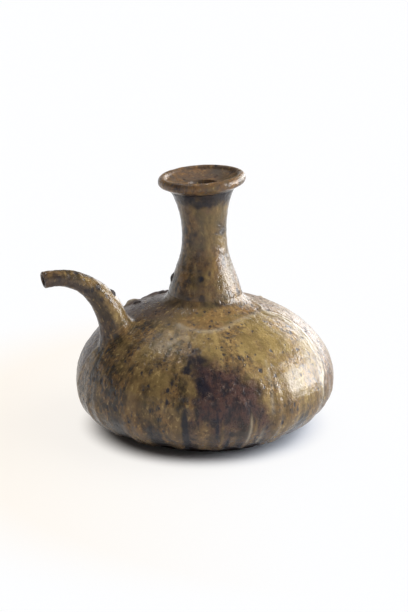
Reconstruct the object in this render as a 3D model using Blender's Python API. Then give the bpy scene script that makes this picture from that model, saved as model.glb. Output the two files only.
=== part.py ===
"""A squat stoneware pouring bottle with a trumpet neck and a curved spout.

The bottle is put together as a potter luted it: a base slab, two halves of the
belly, a neck with a rolled lip, a hollow spout, and the coils worked round the
roots of neck and spout. Bits of kiln crumb are fused to the shoulder side.
Units are metres, +Z is up, the origin is the centre of the foot, and the spout
points along -X.
"""

import math

import bmesh
import bpy
from mathutils import Vector

# Body, sizes of the outside
BELLY_RADIUS = 0.1000
BELLY_HEIGHT = 0.0385
SHOULDER_RISE = 0.0640
FOOT_RADIUS = 0.0610
FOOT_EDGE_RADIUS = 0.0020
BASE_THICKNESS = 0.0080
BODY_WALL = 0.0060

# Neck, heights above its seat on the shoulder
NECK_FOOT_RADIUS = 0.0286
NECK_WAIST_RADIUS = 0.0173
NECK_WAIST_LEVEL = 0.0475
NECK_TOP_RADIUS = 0.0246
NECK_TOP_FLARE = 0.50
NECK_LENGTH = 0.0878
NECK_WALL = 0.0050
NECK_LEAN = 0.0030
NECK_LEAN_POWER = 2.4

# Lip and mouth, heights above the top of the neck
LIP_RADIUS = 0.0334
LIP_ROLL_HALF_WIDTH = 0.0034
LIP_ROLL_HALF_HEIGHT = 0.0038
LIP_RISE = 0.0114
LIP_ROLL_START = math.radians(-70.0)
LIP_ROLL_SWEEP = math.radians(225.0)
MOUTH_BORE_RADIUS = 0.0100
DISH_DEPTH = 0.0062

# Spout, its centre line leaves the shoulder steeply and ends just past level
SPOUT_ROOT_INSET = 0.0268
SPOUT_REACH = 0.0548
SPOUT_RISE = 0.0474
SPOUT_ROOT_ANGLE = math.radians(82.0)
SPOUT_TIP_DROP = math.radians(8.0)
SPOUT_ROOT_BEND = 0.0270
SPOUT_TIP_BEND = 0.0315
SPOUT_ROOT_RADIUS = 0.0126
SPOUT_TIP_RADIUS = 0.0057
SPOUT_TAPER_POWER = 1.35
SPOUT_TIP_FLARE = 0.0006
SPOUT_FLARE_POWER = 8
SPOUT_ROOT_WALL = 0.0040
SPOUT_TIP_WALL = 0.0022
SPOUT_HOLE_RADIUS = 0.0076
ROOT_SEARCH = (-1.0, 0.6)
ROOT_CLOSENESS = 1e-7

# Luting coils, worked smooth into what they join
NECK_COIL_WIDTH = 0.0120
NECK_COIL_HEIGHT = 0.0060
SPOUT_COIL_WIDTH = 0.0036
SPOUT_COIL_HEIGHT = 0.0100
COIL_EDGE = 0.0005

# Gap left at every seam between two pieces, and how much more a slant needs
SEAM_GAP = 0.0003
SLANT_MARGIN = 1.2
MERGE_DISTANCE = 1e-6

# Facets
BODY_SIDES = 64
NECK_SIDES = 48
SPOUT_SIDES = 24
BODY_STEPS = 6
NECK_STEPS = 5
LIP_STEPS = 8
DISH_STEPS = 3
FOOT_EDGE_STEPS = 2
SPOUT_STEPS = 12
COIL_STEPS = 5
CRUMB_SIDES = 10
CRUMB_RINGS = 3
CRUMB_FLOOR_RINGS = (0.50, 0.85)
CRUMB_EDGE_SHARE = 0.30
CRUMB_TWO_LOBES = 0.16
CRUMB_THREE_LOBES = 0.09
SMOOTH_ANGLE = math.radians(40.0)

# Kiln crumbs on the shoulder: angle round the body, distance from its axis,
# width round the body, width down the shoulder, height
SHOULDER_CRUMBS = (
    (math.radians(109.0), 0.0535, 0.0110, 0.0150, 0.0022),
    (math.radians(119.0), 0.0605, 0.0070, 0.0080, 0.0016),
    (math.radians(127.0), 0.0675, 0.0080, 0.0090, 0.0018),
    (math.radians(138.0), 0.0560, 0.0060, 0.0070, 0.0015),
)
# On the neck: angle, height above the seat, width round, width along, height
NECK_CRUMB = (math.radians(158.0), 0.0180, 0.0060, 0.0080, 0.0011)
# On the spout: angle from its upper side, share along it, widths, height
SPOUT_CRUMB = (math.radians(-12.0), 0.36, 0.0050, 0.0064, 0.0018)

# Colour, roughness and metallic value of each clay or glaze
OCHRE_GLAZE = ("ochre_ash_glaze", (0.20, 0.125, 0.042, 1.0), 0.32, 0.0)
BROWN_GLAZE = ("brown_ash_glaze", (0.13, 0.075, 0.034, 1.0), 0.36, 0.0)
BARE_CLAY = ("bare_clay", (0.085, 0.042, 0.027, 1.0), 0.75, 0.0)
KILN_CRUMB = ("kiln_crumb", (0.035, 0.030, 0.030, 1.0), 0.65, 0.0)


def clear_scene():
    """Remove whatever the file holds."""
    for item in list(bpy.data.objects):
        bpy.data.objects.remove(item, do_unlink=True)


def material(finish):
    """The Principled material of a finish, made once and then shared."""
    name, colour, roughness, metallic = finish
    made = bpy.data.materials.get(name)
    if made is None:
        made = bpy.data.materials.new(name)
        made.use_nodes = True
        shader = made.node_tree.nodes["Principled BSDF"]
        shader.inputs["Base Color"].default_value = colour
        shader.inputs["Roughness"].default_value = roughness
        shader.inputs["Metallic"].default_value = metallic
    return made


def add_object(name, bm, finish):
    """Turn a bmesh into a named, smooth-shaded object with its material."""
    bmesh.ops.recalc_face_normals(bm, faces=bm.faces)
    if bm.calc_volume(signed=True) < 0.0:
        bmesh.ops.reverse_faces(bm, faces=bm.faces)
    mesh = bpy.data.meshes.new(name)
    bm.to_mesh(mesh)
    bm.free()
    mesh.shade_smooth()
    mesh.set_sharp_from_angle(angle=SMOOTH_ANGLE)
    mesh.materials.append(material(finish))
    made = bpy.data.objects.new(name, mesh)
    bpy.context.scene.collection.objects.link(made)
    return made


def steps(count):
    """Shares from 0 to 1 in equal steps."""
    return [index / count for index in range(count + 1)]


def turned(name, outline, sides, finish, bend=None):
    """Spin a closed (radius, height) outline about the Z axis."""
    bm = bmesh.new()
    loop = [bm.verts.new((radius, 0.0, height)) for radius, height in outline]
    ring = [bm.edges.new((a, b)) for a, b in zip(loop, loop[1:])]
    on_axis = outline[0][0] == 0.0 and outline[-1][0] == 0.0
    if not on_axis:
        ring.append(bm.edges.new((loop[-1], loop[0])))
    bmesh.ops.spin(
        bm,
        geom=loop + ring,
        axis=(0.0, 0.0, 1.0),
        cent=(0.0, 0.0, 0.0),
        angle=math.tau,
        steps=sides,
        use_merge=True,
    )
    bmesh.ops.remove_doubles(bm, verts=bm.verts, dist=MERGE_DISTANCE)
    if bend:
        for vert in bm.verts:
            vert.co = bend(vert.co)
    return add_object(name, bm, finish)


def skinned(name, rings, finish):
    """Close a row of vertex rings into a tube whose last ring meets the first."""
    bm = bmesh.new()
    loops = [[bm.verts.new(point) for point in ring] for ring in rings]
    for here, there in zip(loops, loops[1:] + loops[:1]):
        for a, b, c, d in zip(here, here[1:] + here[:1], there[1:] + there[:1], there):
            bm.faces.new((a, b, c, d))
    return add_object(name, bm, finish)


def hermite(share, start, end, start_slope, end_slope):
    """A cubic from start to end with the given slopes over the unit run."""
    square, cube = share**2, share**3
    return (
        start * (2 * cube - 3 * square + 1)
        + end * (3 * square - 2 * cube)
        + start_slope * (cube - 2 * square + share)
        + end_slope * (cube - square)
    )


# Body

BELLY_DROP = BELLY_HEIGHT / math.sqrt(1.0 - (FOOT_RADIUS / BELLY_RADIUS) ** 2)


def shoulder_height(radius, wall=0.0):
    """Height of the shoulder dome at a distance from the axis."""
    reach = BELLY_RADIUS - wall
    rise = SHOULDER_RISE - wall
    return BELLY_HEIGHT + rise * math.sqrt(max(0.0, 1.0 - (radius / reach) ** 2))


NECK_SEAT = shoulder_height(NECK_FOOT_RADIUS)
LIP_SEAT = NECK_SEAT + NECK_LENGTH
LIP_TOP = LIP_SEAT + LIP_RISE
SPOUT_ROOT_OFFSET = BELLY_RADIUS - SPOUT_ROOT_INSET


def shoulder_arc(inner_radius, wall=0.0):
    """Points of the dome from the belly seam in to a radius."""
    reach = BELLY_RADIUS - wall
    rise = SHOULDER_RISE - wall
    last = math.acos(inner_radius / reach)
    arc = []
    for share in steps(BODY_STEPS):
        angle = last * share
        arc.append((reach * math.cos(angle), BELLY_HEIGHT + rise * math.sin(angle)))
    return arc


def belly_arc(low, high, wall=0.0):
    """Points of the lower wall from one height up to another."""
    reach = BELLY_RADIUS - wall
    drop = BELLY_DROP - wall
    first = math.asin((BELLY_HEIGHT - low) / drop)
    last = math.asin((BELLY_HEIGHT - high) / drop)
    arc = []
    for share in steps(BODY_STEPS):
        angle = first + (last - first) * share
        arc.append((reach * math.cos(angle), BELLY_HEIGHT - drop * math.sin(angle)))
    return arc


def make_base_disc():
    """The slab that the bottle stands on, with a softened foot edge."""
    side = belly_arc(FOOT_EDGE_RADIUS, BASE_THICKNESS)
    edge = side[0][0] - FOOT_EDGE_RADIUS
    outline = [(0.0, 0.0), (edge, 0.0)]
    for share in steps(FOOT_EDGE_STEPS)[1:-1]:
        turn = share * math.pi / 2
        reach = edge + FOOT_EDGE_RADIUS * math.sin(turn)
        outline.append((reach, FOOT_EDGE_RADIUS * (1.0 - math.cos(turn))))
    outline += side[::2]
    outline.append((0.0, BASE_THICKNESS))
    turned("base_disc", outline, BODY_SIDES, BARE_CLAY)


def make_lower_body():
    """The lower half of the belly, standing on the rim of the slab."""
    low = BASE_THICKNESS + SEAM_GAP
    outline = belly_arc(low, BELLY_HEIGHT)
    outline += reversed(belly_arc(low, BELLY_HEIGHT, BODY_WALL))
    turned("lower_body", outline, BODY_SIDES, OCHRE_GLAZE)


def make_upper_body():
    """The shoulder dome with a flat seat for the neck and the spout's hole."""
    bore = NECK_FOOT_RADIUS - NECK_WALL
    outside = shoulder_arc(NECK_FOOT_RADIUS)
    inside = shoulder_arc(bore, BODY_WALL)
    seam = BELLY_HEIGHT + SEAM_GAP
    outline = [(outside[0][0], seam)] + outside[1:]
    outline.append((bore, NECK_SEAT))
    outline += inside[:0:-1]
    outline.append((inside[0][0], seam))
    dome = turned("upper_body", outline, BODY_SIDES, OCHRE_GLAZE)
    hole = dome.modifiers.new("spout_hole", "BOOLEAN")
    hole.operation = "DIFFERENCE"
    hole.solver = "EXACT"
    hole.object = make_hole_cutter()


def make_hole_cutter():
    """A round rod along the root of the spout, which pierces the dome."""
    reach = BODY_WALL + SPOUT_ROOT_RADIUS
    direction = spout_tangent(0.0)
    rings = []
    for end in (-reach, reach):
        middle = spout_middle(0.0) + direction * end
        across = Vector((0.0, 1.0, 0.0))
        up = direction.cross(across)
        ring = []
        for index in range(SPOUT_SIDES):
            turn = math.tau * index / SPOUT_SIDES
            ring.append(middle + SPOUT_HOLE_RADIUS * (across * math.cos(turn) + up * math.sin(turn)))
        rings.append(ring)
    bm = bmesh.new()
    loops = [[bm.verts.new(point) for point in ring] for ring in rings]
    for index in range(SPOUT_SIDES):
        after = (index + 1) % SPOUT_SIDES
        bm.faces.new((loops[0][index], loops[0][after], loops[1][after], loops[1][index]))
    bm.faces.new(loops[0])
    bm.faces.new(loops[1])
    cutter = add_object("spout_hole_cutter", bm, BARE_CLAY)
    cutter.hide_render = True
    cutter.display_type = "WIRE"
    return cutter


# Neck, lip and mouth



def neck_radius(level):
    """Outer radius of the neck at a level above its seat."""
    if level < NECK_WAIST_LEVEL:
        share = level / NECK_WAIST_LEVEL
        return hermite(share, NECK_FOOT_RADIUS, NECK_WAIST_RADIUS, 0.0, 0.0)
    run = NECK_LENGTH - NECK_WAIST_LEVEL
    share = (level - NECK_WAIST_LEVEL) / run
    return hermite(share, NECK_WAIST_RADIUS, NECK_TOP_RADIUS, 0.0, NECK_TOP_FLARE * run)


def bore_radius(level):
    """Radius of the neck's bore, which narrows again under the mouth."""
    if level < NECK_WAIST_LEVEL:
        return neck_radius(level) - NECK_WALL
    share = (level - NECK_WAIST_LEVEL) / (NECK_LENGTH - NECK_WAIST_LEVEL)
    return hermite(share, NECK_WAIST_RADIUS - NECK_WALL, MOUTH_BORE_RADIUS, 0.0, 0.0)


def leaned(point):
    """Move a point of the upright neck to where the neck leans to the spout."""
    run = LIP_TOP - NECK_SEAT
    share = max(0.0, (point.z - NECK_SEAT) / run)
    shift = NECK_LEAN * share**NECK_LEAN_POWER
    slope = NECK_LEAN * NECK_LEAN_POWER * share ** (NECK_LEAN_POWER - 1.0) / run
    tilt = math.atan(slope)
    x = -shift + point.x * math.cos(tilt)
    return Vector((x, point.y, point.z + point.x * math.sin(tilt)))


def neck_levels(first, last):
    """Levels up the neck, closer together above the waist."""
    below = [first + (NECK_WAIST_LEVEL - first) * share for share in steps(NECK_STEPS)]
    above = [NECK_WAIST_LEVEL + (last - NECK_WAIST_LEVEL) * share for share in steps(NECK_STEPS)]
    return below + above[1:]


def make_neck():
    """The trumpet tube that stands on the shoulder's seat."""
    levels = neck_levels(SEAM_GAP, NECK_LENGTH)
    outline = [(neck_radius(level), NECK_SEAT + level) for level in levels]
    outline += [(bore_radius(level), NECK_SEAT + level) for level in reversed(levels)]
    turned("neck", outline, NECK_SIDES, OCHRE_GLAZE, leaned)


def make_rolled_lip():
    """The rolled rim, with the dish that slopes to the pouring hole."""
    low = LIP_SEAT + SEAM_GAP
    roll_radius = LIP_RADIUS - LIP_ROLL_HALF_WIDTH
    roll_height = LIP_TOP - LIP_ROLL_HALF_HEIGHT
    outline = [(MOUTH_BORE_RADIUS, low), (NECK_TOP_RADIUS, low)]
    for share in steps(LIP_STEPS):
        turn = LIP_ROLL_START + LIP_ROLL_SWEEP * share
        radius = roll_radius + LIP_ROLL_HALF_WIDTH * math.cos(turn)
        outline.append((radius, roll_height + LIP_ROLL_HALF_HEIGHT * math.sin(turn)))
    dish_edge, dish_top = outline[-1]
    floor = LIP_TOP - DISH_DEPTH
    for share in steps(DISH_STEPS)[1:]:
        radius = dish_edge + (MOUTH_BORE_RADIUS - dish_edge) * share
        outline.append((radius, hermite(share, dish_top, floor, floor - dish_top, 0.0)))
    turned("rolled_lip", outline, NECK_SIDES, BROWN_GLAZE, leaned)


def make_neck_luting_coil():
    """The coil worked into the corner between shoulder and neck."""
    inner = NECK_FOOT_RADIUS + SEAM_GAP
    outer = inner + NECK_COIL_WIDTH
    clear = SEAM_GAP * SLANT_MARGIN
    outline = []
    for share in steps(COIL_STEPS):
        radius = inner + NECK_COIL_WIDTH * share
        outline.append((radius, shoulder_height(radius) + clear))
    top = NECK_SEAT + NECK_COIL_HEIGHT
    top_outer = neck_radius(NECK_COIL_HEIGHT) + clear + COIL_EDGE
    depth = top - shoulder_height(top_outer) - clear - COIL_EDGE
    for share in steps(COIL_STEPS):
        sweep = share * math.pi / 2
        radius = outer - (outer - top_outer) * math.sin(sweep)
        rise = COIL_EDGE + depth * (1.0 - math.cos(sweep))
        outline.append((radius, shoulder_height(radius) + clear + rise))
    for share in steps(COIL_STEPS)[:-1]:
        level = NECK_COIL_HEIGHT * (1.0 - share)
        outline.append((neck_radius(level) + clear, NECK_SEAT + level))
    turned("neck_luting_coil", outline, NECK_SIDES, BROWN_GLAZE, leaned)


# Spout


def spout_controls():
    """The four points that rule the centre line, as (distance out, height)."""
    root = Vector((SPOUT_ROOT_OFFSET, shoulder_height(SPOUT_ROOT_OFFSET)))
    tip = root + Vector((SPOUT_REACH, SPOUT_RISE))
    leave = Vector((math.cos(SPOUT_ROOT_ANGLE), math.sin(SPOUT_ROOT_ANGLE)))
    arrive = Vector((math.cos(SPOUT_TIP_DROP), -math.sin(SPOUT_TIP_DROP)))
    return root, root + leave * SPOUT_ROOT_BEND, tip - arrive * SPOUT_TIP_BEND, tip


def spout_middle(share):
    """Point of the spout's centre line, straight on below the root."""
    a, b, c, d = spout_controls()
    if share < 0.0:
        flat = a + (b - a) * 3.0 * share
    else:
        rest = 1.0 - share
        flat = a * rest**3 + b * 3 * rest**2 * share + c * 3 * rest * share**2 + d * share**3
    return Vector((-flat.x, 0.0, flat.y))


def spout_tangent(share):
    """Direction of the centre line, from root to tip."""
    a, b, c, d = spout_controls()
    at = max(0.0, share)
    rest = 1.0 - at
    flat = (b - a) * rest**2 + (c - b) * 2 * rest * at + (d - c) * at**2
    return Vector((-flat.x, 0.0, flat.y)).normalized()


def spout_radius(share, wall_share=0.0):
    """Radius at a share of the length: outside at 0, in the bore at 1."""
    at = max(0.0, share)
    outside = SPOUT_TIP_RADIUS + (SPOUT_ROOT_RADIUS - SPOUT_TIP_RADIUS) * (1.0 - at) ** SPOUT_TAPER_POWER
    outside += SPOUT_TIP_FLARE * at**SPOUT_FLARE_POWER
    wall = SPOUT_ROOT_WALL + (SPOUT_TIP_WALL - SPOUT_ROOT_WALL) * at
    return outside - wall * wall_share


def spout_outward(share, around):
    """Unit vector from the centre line, 0 on the spout's upper side."""
    across = Vector((0.0, 1.0, 0.0))
    upper = across.cross(spout_tangent(share))
    return upper * math.cos(around) + across * math.sin(around)


def spout_point(share, around, radius):
    """Point at a radius from the centre line."""
    return spout_middle(share) + spout_outward(share, around) * radius


def above_shoulder(point):
    """How far a point lies above the dome, straight up."""
    return point.z - shoulder_height(math.hypot(point.x, point.y))


def root_share(around, radius_at, gap):
    """Share of the length at which a tube's wall meets the dome and its gap."""
    low, high = ROOT_SEARCH
    while high - low > ROOT_CLOSENESS:
        middle = (low + high) / 2
        if above_shoulder(spout_point(middle, around, radius_at(middle))) < gap:
            low = middle
        else:
            high = middle
    return high


def spout_turns():
    """Angles round the spout."""
    return [math.tau * index / SPOUT_SIDES for index in range(SPOUT_SIDES)]


def shoulder_clearance():
    """Upright gap that leaves the seam gap on the slope under the spout."""
    slope = (shoulder_height(SPOUT_ROOT_OFFSET) - BELLY_HEIGHT) / SHOULDER_RISE
    return SEAM_GAP / slope


def make_spout():
    """The hollow tube, from its trimmed root to the tip and back down the bore."""
    clear = shoulder_clearance()

    def outside(share):
        return spout_radius(share)

    def inside(share):
        return spout_radius(share, 1.0)

    def rings(radius_at):
        found = {turn: root_share(turn, radius_at, clear) for turn in spout_turns()}
        made = []
        for step in steps(SPOUT_STEPS):
            ring = []
            for turn, root in found.items():
                share = root + (1.0 - root) * step
                ring.append(spout_point(share, turn, radius_at(share)))
            made.append(ring)
        return made

    skinned("spout", rings(outside) + rings(inside)[::-1], OCHRE_GLAZE)


def make_spout_luting_coil():
    """The coil worked round the spout's root, from the tube to the dome."""
    clear = shoulder_clearance()
    length = (spout_middle(1.0) - spout_middle(0.0)).length

    def seat(share):
        return spout_radius(share) + SEAM_GAP

    def edge(share):
        return spout_radius(share) + SEAM_GAP + COIL_EDGE

    columns = []
    for turn in spout_turns():
        root = root_share(turn, seat, clear)
        top = root + SPOUT_COIL_HEIGHT / length
        column = []
        for step in steps(COIL_STEPS):
            share = root + (top - root) * step
            column.append(spout_point(share, turn, seat(share)))
        column.append(spout_point(top, turn, edge(top)))
        for step in steps(COIL_STEPS)[1:]:
            sweep = step * math.pi / 2
            share = root + (top - root) * (1.0 - math.sin(sweep))
            bulge = SPOUT_COIL_WIDTH * (1.0 - math.cos(sweep))
            point = spout_point(share, turn, edge(share) + bulge)
            floor = shoulder_height(math.hypot(point.x, point.y)) + clear + COIL_EDGE
            point.z = max(point.z, floor)
            column.append(point)
        toe = column[-1].copy()
        toe.z = shoulder_height(math.hypot(toe.x, toe.y)) + clear
        column.append(toe)
        columns.append(column)
    skinned("spout_luting_coil", list(zip(*columns)), BROWN_GLAZE)


# Kiln crumbs


def on_shoulder(angle, radius):
    """Where and which way out a crumb sits on the dome."""

    def place(round_it, along):
        at = radius + along
        turn = angle + round_it / radius
        point = Vector((at * math.cos(turn), at * math.sin(turn), shoulder_height(at)))
        slope = Vector((point.x / BELLY_RADIUS**2, point.y / BELLY_RADIUS**2,
                        (point.z - BELLY_HEIGHT) / SHOULDER_RISE**2))
        return point, slope.normalized()

    return place


def on_neck(angle, level):
    """Where and which way out a crumb sits on the neck."""

    def place(round_it, along):
        at = level + along
        turn = angle + round_it / neck_radius(level)
        out = Vector((math.cos(turn), math.sin(turn), 0.0))
        point = leaned(out * neck_radius(at) + Vector((0.0, 0.0, NECK_SEAT + at)))
        return point, out

    return place


def on_spout(angle, share):
    """Where and which way out a crumb sits on the spout."""
    length = (spout_middle(1.0) - spout_middle(0.0)).length

    def place(round_it, along):
        at = share + along / length
        turn = angle + round_it / spout_radius(share)
        return spout_point(at, turn, spout_radius(at)), spout_outward(at, turn)

    return place


def make_crumb(name, place, width, length, height):
    """A rounded, uneven bit that is seated on a surface."""
    bm = bmesh.new()

    def ring(share, lift):
        made = []
        for index in range(CRUMB_SIDES):
            turn = math.tau * index / CRUMB_SIDES
            uneven = 1.0 + CRUMB_TWO_LOBES * math.sin(2 * turn + 1.0)
            uneven += CRUMB_THREE_LOBES * math.sin(3 * turn)
            reach = share * uneven / 2
            point, out = place(width * reach * math.cos(turn), length * reach * math.sin(turn))
            made.append(bm.verts.new(point + out * lift))
        return made

    def cap(middle_lift, inner):
        point, out = place(0.0, 0.0)
        middle = bm.verts.new(point + out * middle_lift)
        for a, b in zip(inner, inner[1:] + inner[:1]):
            bm.faces.new((a, b, middle))

    def join(here, there):
        for a, b, c, d in zip(here, here[1:] + here[:1], there[1:] + there[:1], there):
            bm.faces.new((a, b, c, d))

    floor = [ring(share, SEAM_GAP) for share in CRUMB_FLOOR_RINGS]
    crown = []
    for share in steps(CRUMB_RINGS)[:-1]:
        turn = share * math.pi / 2
        lift = CRUMB_EDGE_SHARE + (1.0 - CRUMB_EDGE_SHARE) * math.sin(turn)
        crown.append(ring(math.cos(turn), SEAM_GAP + height * lift))
    rows = floor + crown
    for here, there in zip(rows, rows[1:]):
        join(here, there)
    cap(SEAM_GAP, floor[0])
    cap(SEAM_GAP + height, crown[-1])
    add_object(name, bm, KILN_CRUMB)


def make_crumbs():
    """All the bits that fused to the pot in the kiln."""
    for index, (angle, radius, width, length, height) in enumerate(SHOULDER_CRUMBS, start=1):
        make_crumb(f"shoulder_crumb_{index}", on_shoulder(angle, radius), width, length, height)
    angle, level, width, length, height = NECK_CRUMB
    make_crumb("neck_crumb", on_neck(angle, level), width, length, height)
    angle, share, width, length, height = SPOUT_CRUMB
    make_crumb("spout_crumb", on_spout(angle, share), width, length, height)


def main():
    clear_scene()
    make_base_disc()
    make_lower_body()
    make_upper_body()
    make_neck()
    make_neck_luting_coil()
    make_rolled_lip()
    make_spout()
    make_spout_luting_coil()
    make_crumbs()


main()
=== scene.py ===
"""Looks of a squat stoneware pouring bottle under a runny ash glaze.

Every glazed piece is a closed mesh over one shared relief, so that the glaze
runs on from piece to piece. The relief also gives each vertex a few masks,
which the materials read. Units are metres in the frame's own axes: +Z is up
and the spout points along -X. Angles round the axis are in degrees.
"""

import math

import bpy
import numpy as np
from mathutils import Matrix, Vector


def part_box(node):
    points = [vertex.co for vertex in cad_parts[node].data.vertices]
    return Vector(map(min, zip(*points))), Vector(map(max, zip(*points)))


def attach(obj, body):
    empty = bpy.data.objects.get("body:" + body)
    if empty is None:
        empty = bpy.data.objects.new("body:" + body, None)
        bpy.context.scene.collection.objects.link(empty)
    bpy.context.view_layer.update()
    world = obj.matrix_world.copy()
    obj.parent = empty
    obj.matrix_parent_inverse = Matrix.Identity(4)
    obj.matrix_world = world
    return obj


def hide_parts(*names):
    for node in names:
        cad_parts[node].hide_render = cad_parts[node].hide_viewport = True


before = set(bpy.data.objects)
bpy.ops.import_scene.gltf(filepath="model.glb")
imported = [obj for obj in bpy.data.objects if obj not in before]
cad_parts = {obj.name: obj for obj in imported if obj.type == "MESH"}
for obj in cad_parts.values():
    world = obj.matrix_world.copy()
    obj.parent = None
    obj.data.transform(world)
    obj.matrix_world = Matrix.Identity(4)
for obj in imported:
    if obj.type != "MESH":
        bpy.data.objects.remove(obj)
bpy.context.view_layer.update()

# Sizes read from the frame
BELLY_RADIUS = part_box("lower_body")[1][0]
BELLY_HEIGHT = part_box("lower_body")[1][2]
BASE_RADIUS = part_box("base_disc")[1][0]
BASE_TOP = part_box("base_disc")[1][2]
NECK_FOOT_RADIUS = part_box("neck")[1][1]
NECK_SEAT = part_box("upper_body")[1][2]
COIL_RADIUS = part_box("neck_luting_coil")[1][1]
LIP_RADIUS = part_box("rolled_lip")[1][1]
SHOULDER_RISE = (NECK_SEAT - BELLY_HEIGHT) / math.sqrt(1 - (NECK_FOOT_RADIUS / BELLY_RADIUS) ** 2)
BELLY_DROP = (BELLY_HEIGHT - BASE_TOP) / math.sqrt(1 - (BASE_RADIUS / BELLY_RADIUS) ** 2)

# Sizes of the construction that no box shows
BODY_WALL = 0.006
FOOT_EDGE = 0.002
BASE_CENTRE = 0.002
NECK_WALL = 0.005
NECK_WAIST_RADIUS = 0.0173
NECK_WAIST_LEVEL = 0.0475
NECK_TOP_RADIUS = 0.0246
NECK_TOP_FLARE = 0.5
NECK_LENGTH = 0.0878
NECK_LEAN = 0.003
NECK_LEAN_POWER = 2.4
COIL_TOP_LEVEL = 0.0064
COIL_OVERLAP = 0.0004
COIL_LEAVE = 0.62
COIL_ARRIVE = (0.0012, -0.0034)
LIP_RISE = 0.0114
LIP_ROLL_HALF_WIDTH = 0.0034
LIP_ROLL_HALF_HEIGHT = 0.0038
LIP_ROLL_TURN = (-82, 158)
MOUTH_BORE_RADIUS = 0.01
MOUTH_EDGE = 0.0015
DISH_DEPTH = 0.0062
DISH_STEEPNESS = 1.4
SPOUT_ROOT_OFFSET = 0.0732
SPOUT_REACH = 0.0548
SPOUT_RISE = 0.0474
SPOUT_ROOT_ANGLE = 82
SPOUT_TIP_DROP = 8
SPOUT_ROOT_BEND = 0.027
SPOUT_TIP_BEND = 0.0315
SPOUT_ROOT_RADIUS = 0.0126
SPOUT_TIP_RADIUS = 0.0057
SPOUT_TAPER_POWER = 1.35
SPOUT_TIP_FLARE = 0.0006
SPOUT_ROOT_WALL = 0.004
SPOUT_TIP_WALL = 0.0022
SPOUT_COIL_WIDTH = 0.006
SPOUT_COIL_HEIGHT = 0.012
SPOUT_SWELL = 0.0027

# How finely the surfaces are laid out
BODY_SIDES = 640
NECK_SIDES = 256
SPOUT_SIDES = 128
FILLET_ROWS = 16
TUBE_ROWS = 84
ROW_STEP = 0.001
FINE_ROW_STEP = 0.0007
HIDDEN_ROWS = 10
SHARP_ANGLE = 60

# How far hidden sides tuck in behind their neighbours
TUCK = 0.0012
SMALL_TUCK = 0.0008

LIP_SEAT = NECK_SEAT + NECK_LENGTH
LIP_TOP = LIP_SEAT + LIP_RISE

# The camera: the photograph's angle, read from the bottle's outline
CAMERA_AZIMUTH = -22
CAMERA_ELEVATION = 17
CAMERA_DISTANCE = 1.263
CAMERA_TARGET_HEIGHT = 0.0947
CAMERA_SIDE_STEP = -0.0008
CAMERA_LENS = 96.2
SENSOR = 36
TURN = math.radians(CAMERA_AZIMUTH)
RIGHT = np.array([math.cos(TURN), math.sin(TURN), 0])
AWAY = np.array([-math.sin(TURN), math.cos(TURN), 0])
UP = np.array([0, 0, 1])


# Numbers and noise


def unit(value):
    """A value held between 0 and 1."""
    return np.clip(value, 0, 1)


def smooth(low, high, value):
    """0 at low, 1 at high and an even S between them."""
    share = unit((value - low) / (high - low))
    return share * share * (3 - 2 * share)


def near(value, centre, width):
    """A bell of height 1 about a centre."""
    return np.exp(-(((value - centre) / width) ** 2))


def turned(angle):
    """An angle brought to between -180 and 180 degrees."""
    return (angle + 180) % 360 - 180


def hermite(share, start, end, start_slope, end_slope):
    """A cubic from start to end with the given slopes over the unit run."""
    rest = 1 - share
    bend = start_slope * share * rest**2 - end_slope * share**2 * rest
    return start + (end - start) * share**2 * (3 - 2 * share) + bend


def bezier(share, start, leave, arrive, end):
    """Points along a curve between two ends, pulled by two others."""
    rest = 1 - share
    return start * rest**3 + leave * 3 * rest**2 * share + arrive * 3 * rest * share**2 + end * share**3


def direction(vectors):
    """The same vectors with a length of 1."""
    return vectors / np.linalg.norm(vectors, axis=-1, keepdims=True)


def joined(*rows):
    """Rows one after the other."""
    return np.concatenate(rows)


def pairs(first, second):
    """Two rows of numbers as points of an outline."""
    return np.stack([first, second], axis=1)


def oval(radius, height, half_width, half_height, start, end, count):
    """Part of an upright oval, from one angle to another."""
    turn = np.radians(np.linspace(start, end, count))
    return pairs(radius + half_width * np.cos(turn), height + half_height * np.sin(turn))


def spun(radius, turn, height):
    """Points at distances from the axis, turns round it and heights."""
    across = radius * np.cos(turn)
    return np.stack([across, radius * np.sin(turn), height + 0 * across], axis=-1)


LATTICE_SIDE = 48
LATTICE = np.random.default_rng(11).random((LATTICE_SIDE,) * 3)


def noise(points, cell):
    """Smooth noise from 0 to 1 at points, with cells of a size."""
    place = points / cell + LATTICE_SIDE * 64
    corner = np.floor(place).astype(int)
    share = smooth(0, 1, place - corner)
    total = 0
    for step in np.ndindex(2, 2, 2):
        weight = np.where(step, share, 1 - share).prod(axis=-1)
        at = np.moveaxis((corner + step) % LATTICE_SIDE, -1, 0)
        total = total + weight * LATTICE[tuple(at)]
    return total


def rough(points, cell, octaves=3):
    """Noise from about -1 to 1 with finer and finer detail."""
    weights = 0.5 ** np.arange(octaves)
    total = sum(weight * (2 * noise(points, cell * weight) - 1) for weight in weights)
    return total / weights.sum()


# The pot's outline, as (distance from the axis, height)


def shoulder_height(radius):
    return BELLY_HEIGHT + SHOULDER_RISE * np.sqrt(np.maximum(0, 1 - (radius / BELLY_RADIUS) ** 2))


def belly_radius(height, wall=0):
    drop = BELLY_DROP - wall
    return (BELLY_RADIUS - wall) * np.sqrt(np.maximum(0, 1 - ((BELLY_HEIGHT - height) / drop) ** 2))


def neck_radius(level):
    below = hermite(level / NECK_WAIST_LEVEL, NECK_FOOT_RADIUS, NECK_WAIST_RADIUS, 0, 0)
    run = NECK_LENGTH - NECK_WAIST_LEVEL
    share = (level - NECK_WAIST_LEVEL) / run
    above = hermite(share, NECK_WAIST_RADIUS, NECK_TOP_RADIUS, 0, NECK_TOP_FLARE * run)
    return np.where(level < NECK_WAIST_LEVEL, below, above)


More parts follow.
